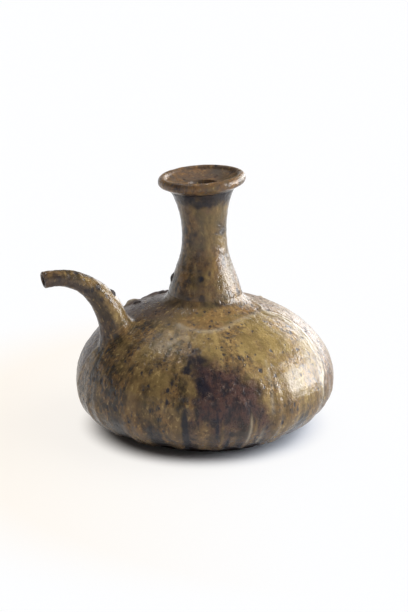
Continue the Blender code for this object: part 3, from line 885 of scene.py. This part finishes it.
def make_crumbs(finish):
    """Each bit as a rough lump with a skirt of glaze, sunk into the surface."""
    turn = math.tau * np.arange(CRUMB_SIDES) / CRUMB_SIDES
    reach = np.sin(np.linspace(0.02, 0.5, CRUMB_RINGS) * math.pi)[:, None]
    for node, half_round, half_along, rise in CRUMBS:
        seat, normal = crumb_seat(node)
        round_it = direction(np.cross(UP, normal))
        along = np.cross(normal, round_it)
        wide = reach * (1 + 0.3 * rough(spun(1, turn, seat[0] * 90), 0.9, 2)) * CRUMB_SPREAD
        flat = seat + spun(wide, turn, 0) @ np.array([half_round * round_it, half_along * along, normal])
        lumpy = 1 + 0.55 * rough(flat, 0.0032, 3)
        top = CRUMB_RISE * rise * (1 - reach**2) ** 1.2 * lumpy - CRUMB_SKIRT * reach**4
        upper = flat + top[..., None] * normal
        lower = flat - (CRUMB_SINK * (1 - reach**2) + CRUMB_SKIRT)[..., None] * normal
        points = joined(upper, lower[::-1])
        piece = make_mesh(node + "_fused", points, capped(points), {})
        take_place(piece, finish, "kiln_crumb", node)


# Materials


def srgb(*colour):
    """A colour given as the eye reads it, from 0 to 255."""
    share = np.array(colour) / 255
    return (*np.where(share <= 0.04045, share / 12.92, ((share + 0.055) / 1.055) ** 2.4), 1)


SHINE = 0.3


class Nodes:
    """A short way to write a material's nodes."""

    def __init__(self, name):
        self.material = bpy.data.materials.new(name)
        self.material.use_nodes = True
        self.tree = self.material.node_tree
        self.tree.nodes.clear()

    def add(self, kind, inputs=None, **settings):
        made = self.tree.nodes.new("ShaderNode" + kind)
        for key, value in settings.items():
            setattr(made, key, value)
        for key, value in (inputs or {}).items():
            if isinstance(value, bpy.types.NodeSocket):
                self.tree.links.new(value, made.inputs[key])
            else:
                made.inputs[key].default_value = value
        return made

    def place(self):
        return self.add("TexCoord").outputs["Object"]

    def mask(self, name, output="Fac"):
        return self.add("Attribute", attribute_name=name).outputs[output]

    def math(self, operation, a, b, clamp=False):
        return self.add("Math", {0: a, 1: b}, operation=operation, use_clamp=clamp).outputs[0]

    def most(self, a, b):
        return self.math("MAXIMUM", a, b)

    def less(self, a, b):
        return self.math("SUBTRACT", a, b)

    def times(self, first, *others):
        """All the values multiplied."""
        for other in others:
            first = self.math("MULTIPLY", first, other)
        return first

    def total(self, start, *parts):
        """A value plus others, each with its weight."""
        for value, weight in parts:
            start = self.math("ADD", start, self.times(value, weight))
        return start

    def mix(self, share, a, b):
        return self.add("Mix", {"Factor": share, 6: a, 7: b}, data_type="RGBA").outputs[2]

    def over(self, colour, other, *shares):
        """A colour with another laid over it, by the product of shares."""
        return self.mix(self.times(*shares), colour, other)

    def noise(self, vector, cell, detail, roughness):
        inputs = {"Vector": vector, "Scale": 1 / cell, "Detail": detail, "Roughness": roughness}
        return self.add("TexNoise", inputs).outputs["Fac"]

    def shaken(self, vector, cell, reach):
        """The same places, each moved a little by noise."""
        wobble = self.add("TexNoise", {"Vector": vector, "Scale": 1 / cell, "Detail": 2})
        inputs = {0: wobble.outputs["Color"], 1: (reach,) * 3, 2: vector}
        return self.add("VectorMath", inputs, operation="MULTIPLY_ADD").outputs[0]

    def step(self, value, low, high):
        """0 to 1 as the value goes from low to high."""
        inputs = {"Value": value, "From Min": low, "From Max": high}
        return self.add("MapRange", inputs, interpolation_type="SMOOTHSTEP").outputs["Result"]

    def spots(self, vector, cell, least, most):
        """Round spots of unlike size, one to a cell or none."""
        made = self.add("TexVoronoi", {"Vector": vector, "Scale": 1 / cell, "Randomness": 1})
        pick = self.add("SeparateColor", {"Color": made.outputs["Color"]}).outputs[0]
        inputs = {"Value": pick, "From Min": 0.35, "From Max": 1, "To Min": least, "To Max": most}
        size = self.add("MapRange", inputs)
        return self.step(self.less(size.outputs["Result"], made.outputs["Distance"]), 0, 0.13)

    def seen(self):
        """1 for rays from the camera and for mirrored ones."""
        path = self.add("LightPath")
        return self.most(path.outputs["Is Camera Ray"], path.outputs["Is Glossy Ray"])

    def shown(self, surface):
        self.add("OutputMaterial", {"Surface": surface}).is_active_output = True
        return self.material

    def finish(self, colour, roughness, height, distance, strength, shine=SHINE):
        bump = self.add("Bump", {"Height": height, "Distance": distance, "Strength": strength})
        shader = self.add("BsdfPrincipled", {
            "Base Color": colour, "Roughness": roughness, "Normal": bump.outputs["Normal"],
            "Specular IOR Level": shine})
        return self.shown(shader.outputs["BSDF"])


OLIVE_BROWN = srgb(68, 57, 44)
OCHRE = srgb(141, 114, 76)
LIGHT_OCHRE = srgb(196, 166, 108)
OLIVE_GOLD = srgb(137, 119, 70)
ORANGE_OCHRE = srgb(144, 106, 64)
RUN_OCHRE = srgb(128, 98, 62)
WARM_BROWN = srgb(114, 90, 70)
GREY_BROWN = srgb(88, 77, 69)
ROSY_BROWN = srgb(146, 116, 98)
PURPLE_BROWN = srgb(101, 90, 90)
NAVY = srgb(25, 30, 44)
SLATE = srgb(70, 72, 72)
RIDGE_TAN = srgb(198, 184, 160)
PATCH_BROWN = srgb(92, 67, 60)
PATCH_DARK = srgb(46, 41, 45)
GRIT_TAN = srgb(140, 116, 100)
# Clay tones, darkened with painted shade for the foot; the crumbs share the darker one
CLAY_BROWN_AND_SHADE = srgb(56, 44, 40)
CLAY_DARK_AND_SHADE = srgb(30, 27, 28)
CRUMB_BROWN = srgb(76, 64, 61)


def ash_glaze():
    """Runny ash glaze over dark clay, with its masks from the relief."""
    n = Nodes("runny_ash_glaze")
    place = n.place()
    flow = n.mask("flow", "Vector")
    coat, bare, ridge, run = map(n.mask, ("coat", "bare", "ridge", "run"))
    dark, thin, rosy, foot = map(n.mask, ("dark", "thin", "rosy", "foot"))
    warm, rich_and_lit, grit, calm, dry = map(n.mask, ("warm", "rich_and_lit", "grit", "calm", "dry"))
    busy = n.less(1, n.times(calm, 0.7))
    glazed = n.less(1, bare)
    streaks = n.noise(flow, 0.0085, 4, 0.55)
    clouds = n.noise(place, 0.02, 4, 0.6)
    drawn = n.add("VectorMath", {0: place, 1: (1, 1, 0.6)}, operation="MULTIPLY").outputs[0]
    mottle = n.noise(drawn, 0.006, 5, 0.7)
    curds = n.noise(n.shaken(drawn, 0.008, 0.004), 0.0036, 3, 0.6)
    grain = n.noise(place, 0.0011, 3, 0.6)
    pepper = n.noise(n.shaken(drawn, 0.004, 0.003), 0.0022, 2, 0.5)

    # Thin glaze, by where it lies
    under = n.mix(n.step(clouds, 0.36, 0.64), GREY_BROWN, WARM_BROWN)
    lines = n.noise(flow, 0.0032, 3, 0.6)
    rose = n.mix(n.step(streaks, 0.38, 0.62), WARM_BROWN, ROSY_BROWN)
    rose = n.over(rose, RIDGE_TAN, n.step(lines, 0.52, 0.66), 0.6)
    under = n.over(under, rose, rosy, 0.9)
    under = n.over(under, PURPLE_BROWN, thin, 0.85)

    # Full pours of glaze: olive to ochre, streaked and mottled
    # The tone lightens where the rich_and_lit mask paints light, and olive gold is laid on there too
    tone = n.total(n.times(streaks, 0.4), (mottle, 0.6), (n.less(rich_and_lit, 0.6), 0.2))
    body = n.mix(n.step(tone, 0.37, 0.54), OLIVE_BROWN, OCHRE)
    body = n.over(body, LIGHT_OCHRE, n.step(tone, 0.52, 0.66), 0.75)
    cover = n.step(n.total(coat, (clouds, 0.6)), 0.2, 1.1)
    colour = n.mix(cover, under, body)
    colour = n.over(colour, OLIVE_GOLD, rich_and_lit, n.step(clouds, 0.56, 0.4), 0.5)
    glow = n.times(n.step(clouds, 0.48, 0.62), n.step(mottle, 0.4, 0.62), n.less(1, thin))
    colour = n.over(colour, ORANGE_OCHRE, glow, 0.5)
    colour = n.over(colour, ORANGE_OCHRE, warm, n.step(mottle, 0.36, 0.6), 0.8)
    colour = n.over(colour, RUN_OCHRE, run, 0.5)
    # Tan of the beads, which also paints the sheen band on the front shoulder
    colour = n.over(colour, RIDGE_TAN, ridge, 0.85)

    # The bare patch, and blue-black pools
    patch = n.mix(n.step(mottle, 0.38, 0.62), PATCH_DARK, PATCH_BROWN)
    patch = n.over(patch, GRIT_TAN, grit, n.step(grain, 0.46, 0.62))
    colour = n.mix(n.step(n.total(bare, (mottle, 0.5)), 0.2, 1.3), colour, patch)
    pool = n.step(n.total(dark, (mottle, 0.8)), 0.55, 1.3)
    colour = n.over(colour, NAVY, pool, 0.85)

    # Slate curds, dark pepper and bright flecks, in drifts
    drift = n.step(clouds, 0.44, 0.58)
    curd = n.times(n.step(curds, 0.53, 0.6), drift, glazed)
    colour = n.over(colour, SLATE, curd, busy, 0.6)
    colour = n.over(colour, NAVY, n.step(pepper, 0.54, 0.68), busy, drift, 0.6)
    bright = n.times(n.step(pepper, 0.42, 0.34), n.step(mottle, 0.44, 0.6), n.less(1, n.most(bare, dark)))
    colour = n.over(colour, LIGHT_OCHRE, bright, busy, 0.6)

    # Specks: small ones where the mask of rich glaze and painted light is high, a few larger ones all over
    jumbled = n.shaken(drawn, 0.0024, 0.003)
    rich_and_lit_drift = n.step(n.total(clouds, (rich_and_lit, 0.07)), 0.43, 0.57)
    small = n.times(n.spots(jumbled, 0.0034, -0.32, 0.5), rich_and_lit_drift, busy)
    large = n.spots(jumbled, 0.01, -0.4, 0.24)
    middling = n.times(n.spots(n.shaken(drawn, 0.003, 0.0036), 0.0054, -0.5, 0.36), busy)
    specks = n.most(n.most(small, large), middling)
    specks = n.times(specks, n.less(1, n.times(bare, 0.6)))
    colour = n.over(colour, NAVY, specks, 0.85)
    # Bare clay of the foot between the runs, darkened with painted shade
    clay = n.mix(n.step(mottle, 0.35, 0.65), CLAY_DARK_AND_SHADE, CLAY_BROWN_AND_SHADE)
    colour = n.mix(foot, colour, clay)

    gloss = n.total(0.22, (cover, -0.12), (calm, -0.1), (bare, 0.16), (foot, 0.35), (dry, 0.4),
                    (specks, 0.3), (rich_and_lit, -0.04))
    gloss = n.math("ADD", gloss, n.times(grain, 0.12), clamp=True)
    hammer = n.noise(place, 0.0022, 1, 0.5)
    height = n.total(n.times(mottle, 0.85), (grain, 0.28), (curds, 0.65),
                     (hammer, n.total(0.2, (calm, 0.4))), (specks, -0.25))
    return n.finish(colour, gloss, height, 0.001, 0.6, n.total(SHINE, (thin, -0.2)))


def gritty_clay(name, cells, tones, pale, bumps, gloss, strength, spotted):
    """Dark, gritty clay: sizes of its mottle and grain, then how they show."""
    n = Nodes(name)
    place = n.place()
    mottle = n.noise(place, cells[0], 5, 0.65)
    grain = n.noise(place, cells[1], 3, 0.6)
    colour = n.mix(n.step(mottle, *tones), CLAY_DARK_AND_SHADE, pale)
    if spotted:
        colour = n.over(colour, NAVY, n.spots(place, 0.003, 0, 0.3), 0.6)
    height = n.total(n.times(mottle, bumps[0]), (grain, bumps[1]))
    return n.finish(colour, n.total(gloss[0], (grain, gloss[1])), height, 0.0008, strength)


def bare_clay():
    """Unglazed clay of the foot, darkened with painted shade."""
    return gritty_clay("bare_foot_clay", (0.007, 0.0009), (0.35, 0.65), CLAY_BROWN_AND_SHADE, (0.6, 0.6),
                       (0.62, 0.25), 0.7, True)


def kiln_crumb():
    """Fused grit, dark under a skin of glaze."""
    return gritty_clay("fused_kiln_crumb", (0.003, 0.0008), (0.36, 0.6), CRUMB_BROWN, (0.8, 0.5),
                       (0.34, 0.3), 0.8, False)


# Stage

FLOOR_HALF = 12.0
BACKDROP_RADIUS = 11.9
BACKDROP_HEIGHT = 2.2
# Paper and glow, warm to the left of the picture and cool to the right: painted light, a warm bounce on
# the left and cool shade on the right
FLOOR_PAPER = ((1, 0.86, 0.71, 1), (0.84, 0.89, 1, 1))
FLOOR_LIGHT = ((1, 0.947, 0.875, 1), (1, 1, 1, 1))
# Where the warm tint ends: from left to right, and away from the bottle
FLOOR_TINT_REACH = (-0.22, 0.1)
FLOOR_TINT_FAR = (0.17, 0.32)
# Share of the floor's own glow away from the foot, and where it comes in
FLOOR_GLOW = 0.9
FLOOR_GLOW_REACH = (0.074, 0.102)


def make_floor():
    """A white sweep that keeps the bottle's shadow."""
    corners = FLOOR_HALF * np.array([(-1, -1, 0), (1, -1, 0), (1, 1, 0), (-1, 1, 0)])
    floor = make_mesh("floor", corners, [(0, 1, 2, 3)], {})
    n = Nodes("white_sweep")
    place = n.place()
    side = n.add("VectorMath", {0: place, 1: RIGHT}, operation="DOT_PRODUCT")
    away = n.add("VectorMath", {0: place}, operation="LENGTH").outputs["Value"]
    cool = n.most(n.step(side.outputs["Value"], *FLOOR_TINT_REACH), n.step(away, *FLOOR_TINT_FAR))
    paper = n.add("BsdfDiffuse", {"Color": n.mix(cool, *FLOOR_PAPER)})
    glow = n.add("Emission", {"Color": n.mix(cool, *FLOOR_LIGHT), "Strength": 1})
    share = n.times(n.seen(), n.step(away, *FLOOR_GLOW_REACH), FLOOR_GLOW)
    both = n.add("MixShader", {0: share, 1: paper.outputs["BSDF"], 2: glow.outputs["Emission"]})
    floor.data.materials.append(n.shown(both.outputs["Shader"]))


def make_backdrop():
    """A low white wall all round, where the floor ends."""
    turn = np.radians(np.arange(0, 360, 4))
    ring = spun(BACKDROP_RADIUS, turn, 0)
    points = np.stack([ring, ring + (0, 0, BACKDROP_HEIGHT)])
    backdrop = make_mesh("backdrop", points, quads(2, len(turn), closed=False), {})
    n = Nodes("white_wall")
    glow = n.add("Emission", {"Color": (1, 1, 1, 1), "Strength": n.seen()})
    backdrop.data.materials.append(n.shown(glow.outputs["Emission"]))


def studio_place(right, away, up):
    """A place in the frame from one as seen by the camera, level with the floor."""
    return RIGHT * right + AWAY * away + UP * up


def aim(item, place, target):
    """Put a lamp or camera at a place and turn it to a target."""
    item.location = Vector(place)
    item.rotation_euler = (Vector(target) - Vector(place)).to_track_quat("-Z", "Y").to_euler()
    bpy.context.scene.collection.objects.link(item)


def make_camera():
    elevation = math.radians(CAMERA_ELEVATION)
    back = studio_place(0, -math.cos(elevation), math.sin(elevation))
    target = studio_place(CAMERA_SIDE_STEP, 0, CAMERA_TARGET_HEIGHT)
    data = bpy.data.cameras.new("camera")
    data.sensor_fit = "VERTICAL"
    data.sensor_height = SENSOR
    data.lens = CAMERA_LENS
    data.clip_start = 0.05
    data.clip_end = 60
    camera = bpy.data.objects.new("camera", data)
    aim(camera, target + back * CAMERA_DISTANCE, target)
    bpy.context.scene.camera = camera


# Soft suns: direction to them as seen by the camera (right, away, up), width, strength, colour
SUNS = (
    ("window", (0.85, 0.02, 0.52), 60, 3.5, (0.965, 0.985, 1)),
    ("sky", (0.15, 0.35, 1), 88, 1.35, (1, 0.98, 0.945)),
)
# Softboxes, which only show in the glaze: place as seen by the camera, size, watts
SOFTBOXES = (
    ("window_box", (1.08, 0.08, 0.36), (0.66, 0.62), 25),
    ("right_wall", (1.4, 1.75, 0.5), (1.8, 1.2), 38),
    ("high_box", (-0.31, 0.3, 1.17), (0.55, 0.05), 3),
)
SOFTBOX_TARGET = (0, 0, 0.06)
WORLD_COLOUR = (1, 0.96, 0.9, 1)
WORLD_STRENGTH = 0.12


def make_lamp(name, kind, place, target, **settings):
    data = bpy.data.lights.new(name, kind)
    for key, value in settings.items():
        setattr(data, key, value)
    lamp = bpy.data.objects.new(name, data)
    aim(lamp, studio_place(*place), target)
    return lamp


def make_lights():
    for name, place, width, strength, colour in SUNS:
        lamp = make_lamp(name, "SUN", place, (0, 0, 0), angle=math.radians(width), energy=strength,
                         color=colour)
        lamp.visible_glossy = False
    for name, place, (width, height), watts in SOFTBOXES:
        lamp = make_lamp(name, "AREA", place, SOFTBOX_TARGET, shape="RECTANGLE", size=width, size_y=height,
                         energy=watts)
        lamp.visible_diffuse = False
    world = bpy.data.worlds.new("room")
    world.use_nodes = True
    shade = world.node_tree.nodes["Background"]
    shade.inputs["Color"].default_value = WORLD_COLOUR
    shade.inputs["Strength"].default_value = WORLD_STRENGTH
    bpy.context.scene.world = world
    bpy.context.scene.view_settings.view_transform = "Standard"


def main():
    glaze = ash_glaze()
    make_camera()
    make_base(bare_clay())
    make_turned(glaze)
    make_spout(glaze)
    make_crumbs(kiln_crumb())
    make_floor()
    make_backdrop()
    make_lights()


main()
